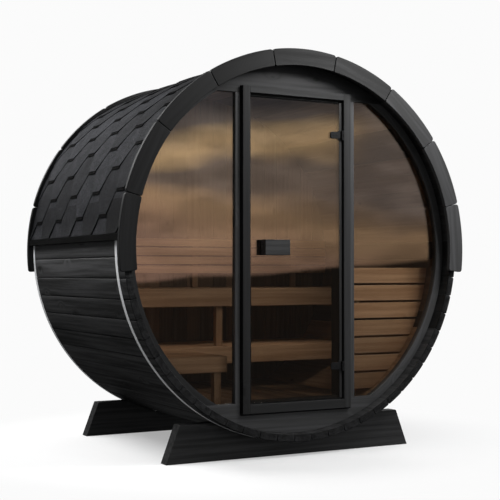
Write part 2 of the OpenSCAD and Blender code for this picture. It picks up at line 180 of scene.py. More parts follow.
class Piece:
    """One mesh made of several boards, each with its own grain coordinates and tone."""

    def __init__(self, name):
        self.name = name
        self.points = []
        self.faces = []
        self.slots = []
        self.grain = []
        self.tones = []

    def add(self, bm, grain, slot=0, tone=None):
        """Takes in a board. slot is a number, or a rule that gives one for a face."""
        shift = Vector([rng.uniform(0, 40) for _ in range(3)])
        tone = rng.random() if tone is None else tone
        first = len(self.points)
        bm.verts.index_update()
        bm.normal_update()
        for vertex in bm.verts:
            self.points.append(vertex.co.copy())
            self.grain.append(grain(vertex.co) + shift)
            self.tones.append(tone(vertex.co) if callable(tone) else tone)
        for face in bm.faces:
            self.faces.append([first + v.index for v in face.verts])
            self.slots.append(slot(face) if callable(slot) else slot)
        bm.free()

    def finish(self, body, finish_slot, materials, *nodes):
        """Makes the object, which rides on a body and stands for some CAD nodes."""
        mesh = bpy.data.meshes.new(self.name)
        mesh.from_pydata(self.points, [], self.faces)
        for material in materials:
            mesh.materials.append(material)
        mesh.polygons.foreach_set("material_index", self.slots)
        mesh.polygons.foreach_set("use_smooth", [True] * len(self.faces))
        grain = mesh.attributes.new("grain", "FLOAT_VECTOR", "POINT")
        grain.data.foreach_set("vector", [c for g in self.grain for c in g])
        tone = mesh.attributes.new("tone", "FLOAT", "POINT")
        tone.data.foreach_set("value", self.tones)
        mesh.set_sharp_from_angle(angle=radians(50))
        mesh.update()
        obj = placed(self.name, mesh)
        obj.modifiers.new("flat faces", "WEIGHTED_NORMAL").keep_sharp = True
        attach(obj, body)
        if nodes:
            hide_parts(*nodes)


# ---- Materials ----
class Shader:
    """Short calls for building a node tree."""

    def __init__(self, name, tree=None):
        if tree is None:
            self.material = bpy.data.materials.new(name)
            self.material.use_nodes = True
            tree = self.material.node_tree
        self.tree = tree
        self.tree.nodes.clear()

    def node(self, kind, inputs=None, **settings):
        made = self.tree.nodes.new("ShaderNode" + kind)
        for key, value in settings.items():
            setattr(made, key, value)
        for key, value in (inputs or {}).items():
            self.set(made.inputs[key], value)
        return made

    def set(self, socket, value):
        if isinstance(value, bpy.types.NodeSocket):
            self.tree.links.new(value, socket)
        else:
            socket.default_value = value

    def attribute(self, name, output="Vector"):
        return self.node("Attribute", attribute_name=name).outputs[output]

    def math(self, operation, a, b=0.0):
        return self.node("Math", {0: a, 1: b}, operation=operation).outputs[0]

    def times(self, a, b):
        return self.math("MULTIPLY", a, b)

    def plus(self, a, b):
        return self.math("ADD", a, b)

    def minus(self, a, b):
        return self.math("SUBTRACT", a, b)

    def scaled(self, place, factors):
        return self.node("VectorMath", {0: place, 1: factors}, operation="MULTIPLY").outputs[0]

    def shifted(self, place, shift):
        return self.node("VectorMath", {0: place, 1: shift}, operation="ADD").outputs[0]

    def noise(self, place, scale=1.0, detail=2.0, roughness=0.5):
        made = self.node("TexNoise", {"Vector": place, "Scale": scale, "Detail": detail,
                                      "Roughness": roughness})
        return made.outputs["Fac"]

    def span(self, value, low, high, to_low=0.0, to_high=1.0, shape="SMOOTHSTEP"):
        """Maps a range onto another one, smoothly unless another shape is asked for."""
        made = self.node("MapRange", {"Value": value, "From Min": low, "From Max": high,
                                      "To Min": to_low, "To Max": to_high},
                         interpolation_type=shape)
        return made.outputs["Result"]

    def mix(self, factor, a, b, blend="MIX"):
        made = self.node("Mix", data_type="RGBA", blend_type=blend)
        self.set(made.inputs["Factor"], factor)
        self.set(made.inputs[6], a)
        self.set(made.inputs[7], b)
        return made.outputs[2]

    def toned(self, colour, tone, base, gain):
        """The colour made darker or lighter by a board's own tone."""
        light = self.plus(base, self.times(tone, gain))
        level = self.node("CombineColor", {0: light, 1: light, 2: light}).outputs[0]
        return self.mix(1.0, colour, level, "MULTIPLY")

    def ramp(self, factor, stops):
        made = self.node("ValToRGB", {"Fac": factor})
        elements = made.color_ramp.elements
        while len(elements) < len(stops):
            elements.new(0.5)
        for element, (place, colour) in zip(elements, stops):
            element.position = place
            element.color = colour
        return made.outputs["Color"]

    def bump(self, height, strength, distance):
        made = self.node("Bump", {"Height": height, "Strength": strength, "Distance": distance})
        return made.outputs["Normal"]

    def output(self, surface):
        self.node("OutputMaterial", {"Surface": surface})
        return self.material

    def solid(self, colour, roughness, specular, normal, metallic=0.0):
        """Ends the material with an opaque surface."""
        surface = self.node("BsdfPrincipled", {
            "Base Color": colour, "Roughness": roughness, "Metallic": metallic,
            "Specular IOR Level": specular, "Normal": normal})
        return self.output(surface.outputs[0])


def grey(value):
    """A neutral colour."""
    return (value, value, value, 1.0)


def wood_material(name, pale, deep, knot_colour, roughness, specular, relief, clear):
    """Planed wood with grain lines, fibres and knots in each board's own coordinates.
    clear is the share of the wood without knots."""
    s = Shader(name)
    place = s.attribute("grain")
    tone = s.attribute("tone", "Fac")
    drift = s.noise(s.scaled(place, (1.1, 5.0, 5.0)))
    drift = s.times(s.minus(drift, 0.5), 0.022)
    sway = s.node("CombineXYZ", {"Y": drift, "Z": drift}).outputs[0]
    bent = s.shifted(place, sway)

    cells = s.node("TexVoronoi", {"Vector": s.scaled(bent, (3.6, 7.0, 0.6)), "Scale": 1.0})
    picked = s.node("SeparateColor", {"Color": cells.outputs["Color"]}).outputs[0]
    present = s.math("GREATER_THAN", picked, clear)
    near = s.times(s.span(cells.outputs["Distance"], 0.30, 0.05), present)
    knot = s.times(s.span(cells.outputs["Distance"], 0.105, 0.06), present)

    rings_place = s.scaled(bent, (1.3, 52.0, 52.0))
    turned = s.node("CombineXYZ", {"Y": s.times(near, 2.6)}).outputs[0]
    rings = s.noise(s.shifted(rings_place, turned), 1.0, 3.0, 0.55)
    broad = s.noise(s.scaled(bent, (0.7, 13.0, 13.0)))
    fibre = s.noise(s.scaled(place, (14.0, 620.0, 620.0)), 1.0, 2.0, 0.6)

    shade = s.plus(s.times(rings, 0.62), s.times(broad, 0.38))
    shade = s.plus(shade, s.times(s.minus(fibre, 0.5), 0.20))
    colour = s.mix(s.span(shade, 0.36, 0.64), pale, deep)
    colour = s.mix(knot, colour, knot_colour)
    colour = s.toned(colour, tone, 0.80, 0.40)

    height = s.plus(s.times(rings, 0.6), s.times(fibre, 0.4))
    height = s.minus(height, s.times(knot, 0.3))
    rough = s.span(shade, 0.30, 0.70, roughness - 0.07, roughness + 0.09)
    return s.solid(colour, rough, specular, s.bump(height, relief, 0.0012))


def sawn_material():
    """Sawn faces that drank more stain: darker, matt, with year rings and saw marks."""
    s = Shader("black_sawn_wood")
    place = s.attribute("grain")
    tone = s.attribute("tone", "Fac")
    rings = s.noise(s.scaled(place, (3.0, 40.0, 320.0)), 1.0, 3.0, 0.6)
    marks = s.noise(s.scaled(place, (60.0, 420.0, 60.0)), 1.0, 2.0, 0.6)
    patch = s.noise(place, 26.0, 3.0, 0.6)
    shade = s.plus(s.times(rings, 0.4), s.times(marks, 0.3))
    shade = s.plus(shade, s.times(patch, 0.3))
    colour = s.mix(s.span(shade, 0.38, 0.62), grey(0.005), (0.026, 0.026, 0.027, 1))
    colour = s.toned(colour, tone, 0.80, 0.40)
    rough = s.span(shade, 0.3, 0.7, 0.92, 0.80)
    return s.solid(colour, rough, 0.12, s.bump(shade, 0.8, 0.0020))


def shingle_material():
    """Bitumen shingle: mineral grit in greys, a little blue, with paler and darker tabs."""
    s = Shader("bitumen_shingle")
    place = s.attribute("grain")
    tone = s.attribute("tone", "Fac")
    grit = s.node("TexVoronoi", {"Vector": place, "Scale": 520.0})
    grain = s.node("SeparateColor", {"Color": grit.outputs["Color"]}).outputs[0]
    cloud = s.noise(place, 11.0, 4.0, 0.6)
    patch = s.noise(place, 95.0, 3.0, 0.65)
    shade = s.plus(s.times(cloud, 0.30), s.times(grain, 0.25))
    shade = s.plus(shade, s.times(patch, 0.45))
    colour = s.ramp(shade, [(0.30, (0.001, 0.001, 0.0013, 1)), (0.52, (0.0140, 0.0146, 0.0170, 1)),
                            (0.75, (0.058, 0.059, 0.066, 1))])
    colour = s.toned(colour, tone, 0.72, 0.56)
    height = s.plus(s.times(grit.outputs["Distance"], 0.7), s.times(patch, 0.5))
    return s.solid(colour, 0.80, 0.07, s.bump(height, 0.55, 0.0016))


def coated_material(name, colour, dull, roughness, specular, metallic=0.0):
    """A coating with a faint orange-peel relief and slightly uneven gloss."""
    s = Shader(name)
    place = s.attribute("grain")
    peel = s.noise(place, 900.0)
    cloud = s.noise(s.scaled(place, (4.0, 30.0, 30.0)), 1.0, 4.0, 0.6)
    tint = s.mix(s.span(cloud, 0.35, 0.70), colour, dull)
    rough = s.span(cloud, 0.3, 0.7, roughness - 0.06, roughness + 0.08)
    return s.solid(tint, rough, specular, s.bump(peel, 0.12, 0.0003), metallic)


def glass_material():
    """Bronze-tinted glass: each face lets most light through and mirrors some of it."""
    s = Shader("bronze_glass")
    ripple = s.noise(s.attribute("grain"), 2.2, 1.0)
    normal = s.bump(ripple, 0.05, 0.004)
    body = s.node("BsdfTransparent", {"Color": (0.90, 0.88, 0.855, 1)})
    mirror = s.node("BsdfGlossy", {"Color": (1, 1, 1, 1), "Roughness": 0.0, "Normal": normal})
    weight = s.node("LayerWeight", {"Blend": 0.12}).outputs["Fresnel"]
    share = s.span(weight, 0.0, 1.0, 0.12, 1.0)
    surface = s.node("MixShader", {0: share, 1: body.outputs[0], 2: mirror.outputs[0]})
    return s.output(surface.outputs[0])


BLACK_WOOD = wood_material(
    "black_stained_wood", (0.038, 0.038, 0.039, 1), grey(0.008), grey(0.002),
    roughness=0.50, specular=0.32, relief=0.90, clear=0.40)
PLANED_WOOD = wood_material(
    "black_planed_wood", (0.030, 0.030, 0.031, 1), grey(0.018), grey(0.011),
    roughness=0.50, specular=0.15, relief=0.30, clear=0.66)
INNER_WOOD = wood_material(
    "inner_wood", (0.46, 0.295, 0.173, 1), (0.32, 0.185, 0.098, 1), (0.16, 0.070, 0.030, 1),
    roughness=0.48, specular=0.3, relief=0.25, clear=0.80)
SAWN_WOOD = sawn_material()
SHINGLE = shingle_material()
# Near-black for the painted shade under the shingle tabs.
SHINGLE_SHADE = coated_material("shingle_painted_shade", grey(0.002), grey(0.003), 0.85, 0.02)
STRAP_STEEL = coated_material("strap_steel", (0.92, 0.93, 0.94, 1), (0.84, 0.85, 0.86, 1),
                              0.40, 0.5, 0.20)
SEAL = coated_material("door_seal", grey(0.020), grey(0.014), 0.60, 0.2)
# Near-black for painted shade: the eave boards under the roof's edge and the door glass's top
# seal.
SHADE_BLACK = coated_material("painted_shade_black", grey(0.0022), grey(0.0050), 0.80, 0.03)
HARDWARE = coated_material("black_hardware", (0.0060, 0.0060, 0.0065, 1),
                           (0.010, 0.010, 0.0105, 1), 0.50, 0.10)
GLASS = glass_material()

# Finish slots, with the materials of pieces that are bare inside or all round.
STAINED = "black_stained_wood"
LINED = (STAINED, [PLANED_WOOD, INNER_WOOD])
BARE = ("inner_wood", [INNER_WOOD])


# ---- Barrel ----
def stave_section(middle, outer, inset):
    """Points of one stave's section, outer side first, drawn in by inset."""
    half = radians(STAVE_ANGLE / 2) * RADIUS - STAVE_GAP_HALF - inset
    outer_radius = outer - inset
    inner_radius = INNER_RADIUS + inset
    shoulder = half - STAVE_GROOVE_HALF
    inner_half = (half + STAVE_GAP_HALF) * INNER_RADIUS / RADIUS
    knee = (half - 0.3 * STAVE_GROOVE_HALF, outer_radius - 0.4 * STAVE_GROOVE_DEPTH)
    points = [(half, outer_radius - STAVE_GROOVE_DEPTH), knee]
    points += [(shoulder - 2 * shoulder * i / 6, outer_radius) for i in range(7)]
    points += [(-knee[0], knee[1]), (-half, outer_radius - STAVE_GROOVE_DEPTH)]
    points.append((-inner_half, inner_radius + INNER_GROOVE))
    points += [((inner_half - INNER_GROOVE) * (i / 2 - 1), inner_radius) for i in range(5)]
    points.append((inner_half, inner_radius + INNER_GROOVE))
    section = []
    for sideways, radius in points:
        reach = RADIUS if radius > (INNER_RADIUS + RADIUS) / 2 else INNER_RADIUS
        section.append(polar(middle + degrees(sideways / reach), radius))
    return section


def stave(piece, middle):
    """One stave with grooved long edges. Its inside is bare wood between the end walls."""
    outer = RADIUS - rng.uniform(0.0, STAVE_UNEVEN)
    levels = [(FRONT_END, END_CHAMFER), (FRONT_END + END_CHAMFER, 0.0), (FRONT_BACK, 0.0),
              (REAR_INNER, 0.0), (REAR_END - END_CHAMFER, 0.0), (REAR_END, END_CHAMFER)]
    bm = loft([(y, stave_section(middle, outer, inset)) for y, inset in levels])

    def is_deep(point):
        return hypot(point.x, point.z - AXIS_Z) < INNER_RADIUS + 2 * INNER_GROOVE

    def part_of(face):
        centre = face.calc_center_median()
        if abs(face.normal.y) > 0.6:
            return 2
        return 1 if is_deep(centre) and FRONT_BACK < centre.y < REAR_INNER else 0

    # Painted light: the outer tone is raised on the staves just under the eave.
    below_eave = abs(asin(sin(radians(middle))) - EAVE_PAINTED_LIGHT_ANGLE)
    eave_painted_light = max(0.0, 1.0 - below_eave / EAVE_PAINTED_LIGHT_REACH)
    outer_tone = rng.random() + EAVE_PAINTED_LIGHT_TONE * eave_painted_light
    inner_tone = rng.random()
    if cos(radians(middle)) > 0:
        inner_tone -= RIGHT_WALL_SHADE[sin(radians(middle)) > LOW_STAVES]

    def tone(point):
        return inner_tone if is_deep(point) else outer_tone

    piece.add(bm, round_grain, part_of, tone)


def staves():
    """The barrel's twelve walls, numbered like the hours of a clock seen from the front."""
    for hour in range(1, 13):
        piece = Piece(f"staves_{hour:02d}")
        middle = 90 - 30 * hour
        for i in range(STAVES_PER_WALL):
            stave(piece, middle + (i - (STAVES_PER_WALL - 1) / 2) * STAVE_ANGLE)
        piece.finish("cabin", STAINED, [BLACK_WOOD, INNER_WOOD, SAWN_WOOD],
                     f"barrel_wall_{hour:02d}")


# ---- Roof ----
# Lengths of a tab and its flat and slanted lower edges, then a row's rise and lap in degrees.
TAB_PITCH = 0.348
TAB_FLAT = 0.104
TAB_SLANT = 0.070
TAB_STEP = 7.15
TAB_LAP = 15.3
TAB_FIRST = 170.75
TAB_ROWS = 11
TAB_PHASES = (-0.438, -0.266)
TAB_THICKNESS = 0.0035
TAB_EDGE_RADIUS = 1.0655
TAB_FALL = 0.0085 / TAB_LAP
TAB_UNEVEN = 0.0003
LEAST_TAB = 0.004
RIDGE_STOP = 90.4
# Painted shade under each tab's lower edge, a near-black sheet: how far it lies in, and shows
# under flat and slanted edges.
TAB_SHADE_DROP = 0.0018
TAB_SHADE_FLAT = 0.95
TAB_SHADE_SLANT = 0.24
EAVE_LIMIT = 180 - EAVE_ANGLE
EAVE_FLARE_START = 171.5
EAVE_FLARE = 0.0120
STARTER_RADIUS = 1.0590
STARTER_THICKNESS = 0.004
STARTER_TOP = 160.0
FELT_LIFT = 0.0030
FELT_THICKNESS = 0.0022
CAP_HALF_ANGLE = 7.2
CAP_EXPOSED = 0.145
CAP_THICKNESS = 0.0022
CAP_LIFT = 0.0005


def tab_outline(offset):
    """How far, in degrees, a row's lower edge is drawn up at a distance from a tab's middle."""
    return TAB_STEP * min(1.0, max(0.0, (abs(offset) - TAB_FLAT / 2) / TAB_SLANT))


def tab_shade_reach(offset):
    """How far, in degrees, the painted shade shows under a tab: most under its flat edge, less
    under its slanted edge towards the front, none under the one towards the rear.
    """
    if offset > TAB_FLAT / 2 + 0.0005:
        return -0.2
    return TAB_SHADE_FLAT if offset > -TAB_FLAT / 2 - 0.0005 else TAB_SHADE_SLANT


def eave_lift(angle):
    """How far the lowest shingles are kicked out over the eave board."""
    share = max(0.0, (angle - EAVE_FLARE_START) / (EAVE_LIMIT - EAVE_FLARE_START))
    return EAVE_FLARE * share * share


def sheet_between(columns, lower, upper, radius_at, thickness, steps, mirrored):
    """A closed curved sheet. lower and upper give the angles of its edges at each column, and
    radius_at gives its outer radius at an angle and a column."""
    sections = []
    for y in columns:
        low, high = lower(y), upper(y)
        angles = [low + (high - low) * i / steps for i in range(steps + 1)]
        outline = [(angle, radius_at(angle, y)) for angle in angles]
        outline += [(angle, radius - thickness) for angle, radius in reversed(outline)]
        sections.append((y, [polar(180 - angle if mirrored else angle, radius)
                             for angle, radius in outline]))
    return loft(sections)


def tab_painted_shade(row, middle):
    """Painted shade: tabs are darker along the eave, towards the ridge and beside the front arch.
    """
    eave = max(0.0, 0.45 - 0.25 * row)
    ridge = 0.42 * max(0.0, row - 4.5)
    front = 0.8 * max(0.0, 1.0 - (middle - FRONT_END) / 0.40)
    return -eave - ridge - front


def shingle_row(piece, row, mirrored):
    """One row of six-sided tabs with a near-black sheet of painted shade under their lower edges,
    each lapped by the next row.
    """
    bottom = TAB_FIRST - row * TAB_STEP
    top = max(RIDGE_STOP, bottom - TAB_LAP)
    phase = TAB_PHASES[row % 2]
    first = floor((FRONT_END - phase) / TAB_PITCH - 0.5)
    last = ceil((REAR_END - phase) / TAB_PITCH + 0.5)
    clipped = TAB_FLAT / 2 + TAB_SLANT * max(0.0, bottom - EAVE_LIMIT) / TAB_STEP
    half_bends = (TAB_FLAT / 2, TAB_FLAT / 2 + 0.001, clipped + 0.002, TAB_FLAT / 2 + TAB_SLANT)
    bends = sorted(side * b for side in (-1, 1) for b in half_bends)
    for number in range(first, last + 1):
        middle = phase + number * TAB_PITCH
        low = max(FRONT_END, middle - TAB_PITCH / 2)
        high = min(REAR_END, middle + TAB_PITCH / 2)
        if high - low < LEAST_TAB:
            continue
        columns = [low] + [middle + b for b in bends if low < middle + b < high] + [high]
        lift = rng.uniform(-TAB_UNEVEN, 0.0)

        def surface(angle, y):
            return TAB_EDGE_RADIUS + lift - TAB_FALL * (bottom - angle) + eave_lift(angle)

        tab = sheet_between(columns, lambda y: min(EAVE_LIMIT, bottom - tab_outline(y - middle)),
                            lambda y: top, surface, TAB_THICKNESS, 8, mirrored)
        piece.add(tab, round_grain, tone=rng.random() + tab_painted_shade(row, middle))
        # A near-black sheet under the tab, showing below its lower edge as painted shade.
        back = sheet_between(
            columns, lambda y: min(EAVE_LIMIT - 0.05, bottom - tab_outline(y - middle)
                                   + tab_shade_reach(y - middle)),
            lambda y: bottom - TAB_STEP - 1.0,
            lambda a, y: surface(min(a, bottom), y) - TAB_SHADE_DROP,
            TAB_THICKNESS - TAB_SHADE_DROP, 4, mirrored)
        piece.add(back, round_grain, 1, 0.5)


def starter_strip(piece, mirrored):
    """The straight strip along the eave, under the lowest tabs."""
    length = (REAR_END - FRONT_END) / 3
    for number in range(3):
        start = FRONT_END + number * length
        bm = sheet_between([start, start + length - 0.001], lambda y: EAVE_LIMIT,
                           lambda y: STARTER_TOP, lambda a, y: STARTER_RADIUS + eave_lift(a),
                           STARTER_THICKNESS, 14, mirrored)
        piece.add(bm, round_grain, tone=0.25)


def roof_side(name, node, mirrored):
    """One half of the roof: felt, starter strip and rows of tabs."""
    piece = Piece(name)
    felt = sheet_between([FRONT_END, REAR_END], lambda y: EAVE_LIMIT - 0.5, lambda y: 90.0,
                         lambda a, y: RADIUS + FELT_LIFT, FELT_THICKNESS, 60, mirrored)
    piece.add(felt, round_grain, tone=0.1)
    starter_strip(piece, mirrored)
    for row in range(-1, TAB_ROWS):
        shingle_row(piece, row, mirrored)
    piece.finish("cabin", "bitumen_shingle", [SHINGLE, SHINGLE_SHADE], node)


def ridge_caps():
    """Caps across the ridge, each lapped by the next towards the front."""
    piece = Piece("ridge_caps")
    count = ceil((REAR_END - FRONT_END) / CAP_EXPOSED)
    for number in range(count):
        near = FRONT_END + number * CAP_EXPOSED
        far = min(REAR_END, near + 2 * CAP_EXPOSED)

        def surface(angle, y):
            return TAB_EDGE_RADIUS + CAP_LIFT + (CAP_THICKNESS if y == near else 0.0)

        bm = sheet_between([near, far], lambda y: 90 - CAP_HALF_ANGLE,
                           lambda y: 90 + CAP_HALF_ANGLE, surface, CAP_THICKNESS, 14, False)
        # Painted shade: the caps are toned darker, like the tabs towards the ridge.
        piece.add(bm, round_grain, tone=rng.random() - 1.0)
    piece.finish("cabin", "bitumen_shingle", [SHINGLE])


def eave_boards():
    """The boards under the lower edge of the roof, near-black as painted shade under the roof's
    edge.
    """
    low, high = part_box("eave_battens")
    piece = Piece("eave_boards")
    for side in (-1, 1):
        inner = RADIUS * cos(radians(EAVE_ANGLE)) + 0.0022
        outline = [(side * inner, low.z), (side * high.x, low.z),
                   (side * high.x, high.z - 0.001), (side * inner, high.z - 0.001)]
        piece.add(extrude(outline, low.y, high.y, 0.002), ALONG_Y, tone=0.5)
    piece.finish("cabin", STAINED, [SHADE_BLACK], "eave_battens")


# ---- Fascias, straps and cradles ----
FASCIA_BOARDS = 9
FASCIA_GAP = 0.0028
FASCIA_ROUND_OUTER = 0.015
FASCIA_ROUND_INNER = 0.009
FASCIA_BEVEL = 0.0030
# Painted light: the fascia boards on the right are toned paler and those over the top and on the
# left darker.
FASCIA_PAINTED_LIGHT = (3.4, 2.6, 1.8, -0.6, -1.8, -1.8, -1.2, -0.8, -0.6)
RING_WIDTH = 0.045
# Shadow gaps round the door frame, the darker tone of what lies in them as painted shade, and
# small overlaps.
FRAME_GAP = 0.008
FRAME_GAP_DEPTH = 0.022
SILL_GAP = 0.009
GAP_SHADE_TONE = -1.0
LAP = 0.001
PLANED_BEVEL = 0.0012
STRAP_THICKNESS = 0.0015
CRADLE_SLOPE = 0.077


def arched_board(angle0, angle1, inner, outer, steps=16):
    """Outline of an arched board with rounded corners."""
    def corner(angle, radius, size, sideways, inwards, order):
        points = []
        for i in range(5)[::order]:
            turn = radians(90 * i / 4)
            along = sideways * size * (1 - cos(turn))
            out = inwards * size * (1 - sin(turn))
            points.append(polar(angle + degrees(along / radius), radius + out))
        return points

    pad = degrees(FASCIA_ROUND_OUTER / outer)
    inner_pad = degrees(FASCIA_ROUND_INNER / inner)
    points = corner(angle0, outer, FASCIA_ROUND_OUTER, 1, -1, 1)
    points += arc(angle0 + pad, angle1 - pad, outer, steps)[1:-1]
    points += corner(angle1, outer, FASCIA_ROUND_OUTER, -1, -1, -1)
    points += corner(angle1, inner, FASCIA_ROUND_INNER, -1, 1, 1)
    points += arc(angle1 - inner_pad, angle0 + inner_pad, inner, steps)[1:-1]
    points += corner(angle0, inner, FASCIA_ROUND_INNER, 1, 1, -1)
    return points


def fascia(name, node):
    """Nine arched boards, each cut from a straight plank."""
    low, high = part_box(node)
    outer = (high.x - low.x) / 2 - 0.0003
    inner = INNER_RADIUS - 0.020
    end = degrees(asin((AXIS_Z - low.z) / outer))
    gap = degrees(FASCIA_GAP / outer)
    span = (180 + 2 * end - (FASCIA_BOARDS - 1) * gap) / FASCIA_BOARDS
    piece = Piece(name)
    for i in range(FASCIA_BOARDS):
        start = -end + i * (span + gap)
        middle = radians(start + span / 2)
        along = Vector((-sin(middle), 0, cos(middle)))
        across = Vector((cos(middle), 0, sin(middle)))
        outline = arched_board(start, start + span, inner, outer)
        tone = FASCIA_PAINTED_LIGHT[i] + rng.uniform(-0.1, 0.1)
        piece.add(extrude(outline, low.y, high.y, FASCIA_BEVEL, 3),
                  straight_grain(along, across), tone=tone)
    piece.finish("cabin", STAINED, [PLANED_WOOD], node)


def strap(name, node):
    """A flat steel band round the lower half of the barrel."""
    low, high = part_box(node)
    end = degrees(asin((high.z - AXIS_Z) / RADIUS))
    outer = (high.x - low.x) / 2
    outline = arc(end, -180 - end, outer, 150) + arc(-180 - end, end, outer - STRAP_THICKNESS, 150)
    piece = Piece(name)
    piece.add(extrude(outline, low.y, high.y, 0.0004), round_grain)
    piece.finish("cabin", "strap_steel", [STRAP_STEEL], node)


def cradle(name, node):
    """A cradle beam with the barrel's round cut out of its top."""
    low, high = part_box(node)
    half_bottom = high.x
    half_top = half_bottom - CRADLE_SLOPE
    seat = RADIUS + 0.0005
    reach = degrees(acos((AXIS_Z - high.z) / seat))
    piece = Piece(name)
    outline = [(-half_bottom, low.z), (half_bottom, low.z), (half_top, high.z)]
    outline += arc(-90 + reach, -90 - reach, seat, 40)
    outline += [(-half_top, high.z)]
    piece.add(extrude(outline, low.y, high.y, 0.003), ALONG_X, tone=-0.4)
    piece.finish("cabin", STAINED, [BLACK_WOOD], node)


# ---- End walls, windows and door frame ----
def bare_inside(face):
    """Slot 1, bare wood, for faces that look into the room from the front wall."""
    return 1 if face.normal.y > 0.95 else 0


def bare_front(face):
    """Slot 1, bare wood, for faces of the rear wall that look into the room."""
    return 1 if face.normal.y < -0.6 else 0


def front_panels():
    """The solid parts of the front wall over and under the windows, with a shadow gap
    beside the door frame and under its sill."""
    # Painted light: the bottom panel is toned much paler than the top one.
    for name, node, side, edge_gap, tone in (
            ("top_panel", "front_panel_top", 1, 0.0004, 0.5),
            ("bottom_panel", "front_panel_bottom", -1, SILL_GAP, 3.0)):
        low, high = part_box(node)
        radius = INNER_RADIUS - 0.0005
        cut = low.z if side > 0 else high.z
        frame_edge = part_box("door_jamb_left")[1 if side > 0 else 0].z
        reach = degrees(asin(abs(cut - AXIS_Z) / radius))
        x, z = FRAME_HALF + FRAME_GAP, frame_edge + side * edge_gap
        outline = arc(side * reach, side * (180 - reach), radius, 48)
        outline += [(-x, cut), (-x, z), (x, z), (x, cut)]
        piece = Piece(name)
        piece.add(extrude(outline, low.y, high.y, PLANED_BEVEL), ALONG_X, bare_inside, tone)
        for end in (-1, 1):
            x0, x1 = sorted((end * FRAME_HALF, end * (x + LAP)))
            z0, z1 = sorted((cut, z))
            piece.add(block((x0, low.y + FRAME_GAP_DEPTH, z0), (x1, high.y, z1), 0.001),
                      ALONG_X, 0, GAP_SHADE_TONE)
        if side < 0:
            piece.add(block((-FRAME_HALF, low.y + FRAME_GAP_DEPTH, z - LAP),
                            (FRAME_HALF, high.y, frame_edge), 0.001), ALONG_X, 0, GAP_SHADE_TONE)
        piece.finish("cabin", *LINED, node)


def rings():
    """The curved frame at the outer side of each window."""
    # Painted light: the right ring is toned much paler than the left one.
    for name, node, side, tone in (("left_ring", "ring_left", -1, 0.3),
                                   ("right_ring", "ring_right", 1, 4.0)):
        low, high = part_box(node)
        outer = INNER_RADIUS - 0.0005
        inner = INNER_RADIUS - RING_WIDTH
        cut = high.z - AXIS_Z - 0.0003
        outer_reach = degrees(asin(cut / outer))
        inner_reach = degrees(asin(cut / inner))
        turn = 0 if side > 0 else 180
        outline = arc(turn - outer_reach, turn + outer_reach, outer, 60)
        outline += arc(turn + inner_reach, turn - inner_reach, inner, 60)
        piece = Piece(name)
        piece.add(extrude(outline, low.y, high.y, PLANED_BEVEL), ring_grain, bare_inside, tone)
        piece.finish("cabin", *LINED, node)


def mullions():
    """The posts between the windows and the door frame, with a shadow gap to the frame."""
    low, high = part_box("mullions")
    piece = Piece("mullion_posts")
    for side in (-1, 1):
        x0, x1 = sorted((side * (FRAME_HALF + FRAME_GAP), side * high.x))
        # Painted light: the posts are toned paler than the panels.
        piece.add(block((x0, low.y, low.z), (x1, high.y, high.z), PLANED_BEVEL), ALONG_Z,
                  bare_inside, 3.3)
        x0, x1 = sorted((side * FRAME_HALF, side * (FRAME_HALF + FRAME_GAP + LAP)))
        piece.add(block((x0, low.y + FRAME_GAP_DEPTH, low.z), (x1, high.y, high.z), 0.001),
                  ALONG_Z, bare_inside, GAP_SHADE_TONE)
    piece.finish("cabin", *LINED, "mullions")


def windows():
    """The two fixed panes, a little in front of the CAD's."""
    for name, node, side, forward in (("left_pane", "window_left", -1, 0.001),
                                      ("right_pane", "window_right", 1, 0.009)):
        low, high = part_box(node)
        straight = low.x if side > 0 else -high.x
        radius = high.x if side > 0 else -low.x
        cut = high.z - AXIS_Z
        reach = degrees(asin(cut / radius))
        outline = [(side * x, z) for x, z in arc(-reach, reach, radius, 60)]
        outline += [(side * straight, AXIS_Z + cut), (side * straight, AXIS_Z - cut)]
        piece = Piece(name)
        piece.add(extrude(outline, low.y - forward, high.y - forward, 0.0006, 1), ALONG_Z)
        piece.finish("cabin", "bronze_glass", [GLASS], node)


REAR_BOARDS = 21
REAR_BOARD_GAP = 0.0008
TONGUE_HALF = 0.004
# The right part of the rear wall gets less light, so its boards are darker.
REAR_WALL_SHADE = (0.9, 1.7)
REAR_SHADE_FROM = -0.25


def rear_wall():
    """Upright tongued boards, black outside and bare inside."""
    low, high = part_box("rear_wall")
    radius = high.x - 0.0004
    width = 2 * radius / REAR_BOARDS
    middle = (low.y + high.y) / 2
    piece = Piece("rear_boards")
    for i in range(REAR_BOARDS):
        x0 = -radius + i * width + REAR_BOARD_GAP / 2
        x1 = x0 + width - REAR_BOARD_GAP
        steps = 6
        across = [x0 + (x1 - x0) * k / steps for k in range(steps + 1)]
        ends = [(x, sqrt(max(0.0, radius * radius - x * x))) for x in across]
        outline = [(x, AXIS_Z + h) for x, h in reversed(ends) if h > 0.002]
        outline += [(x, AXIS_Z - h) for x, h in ends if h > 0.002]
        shade = REAR_WALL_SHADE[(x0 + x1) / 2 >= REAR_SHADE_FROM]
        piece.add(extrude(outline, low.y, high.y, 0.003, 1), ALONG_Z, bare_front,
                  rng.random() - shade)
        if i:
            seam = x0 - REAR_BOARD_GAP / 2
            half = sqrt(radius * radius - seam * seam) - 0.002
            # The tongue behind each seam is toned darker as painted shade.
            piece.add(block((seam - TONGUE_HALF, middle - TONGUE_HALF, AXIS_Z - half),
                            (seam + TONGUE_HALF, middle + TONGUE_HALF, AXIS_Z + half), 0.0005),
                      ALONG_Z, 0, GAP_SHADE_TONE)
    piece.finish("cabin", *LINED, "rear_wall")


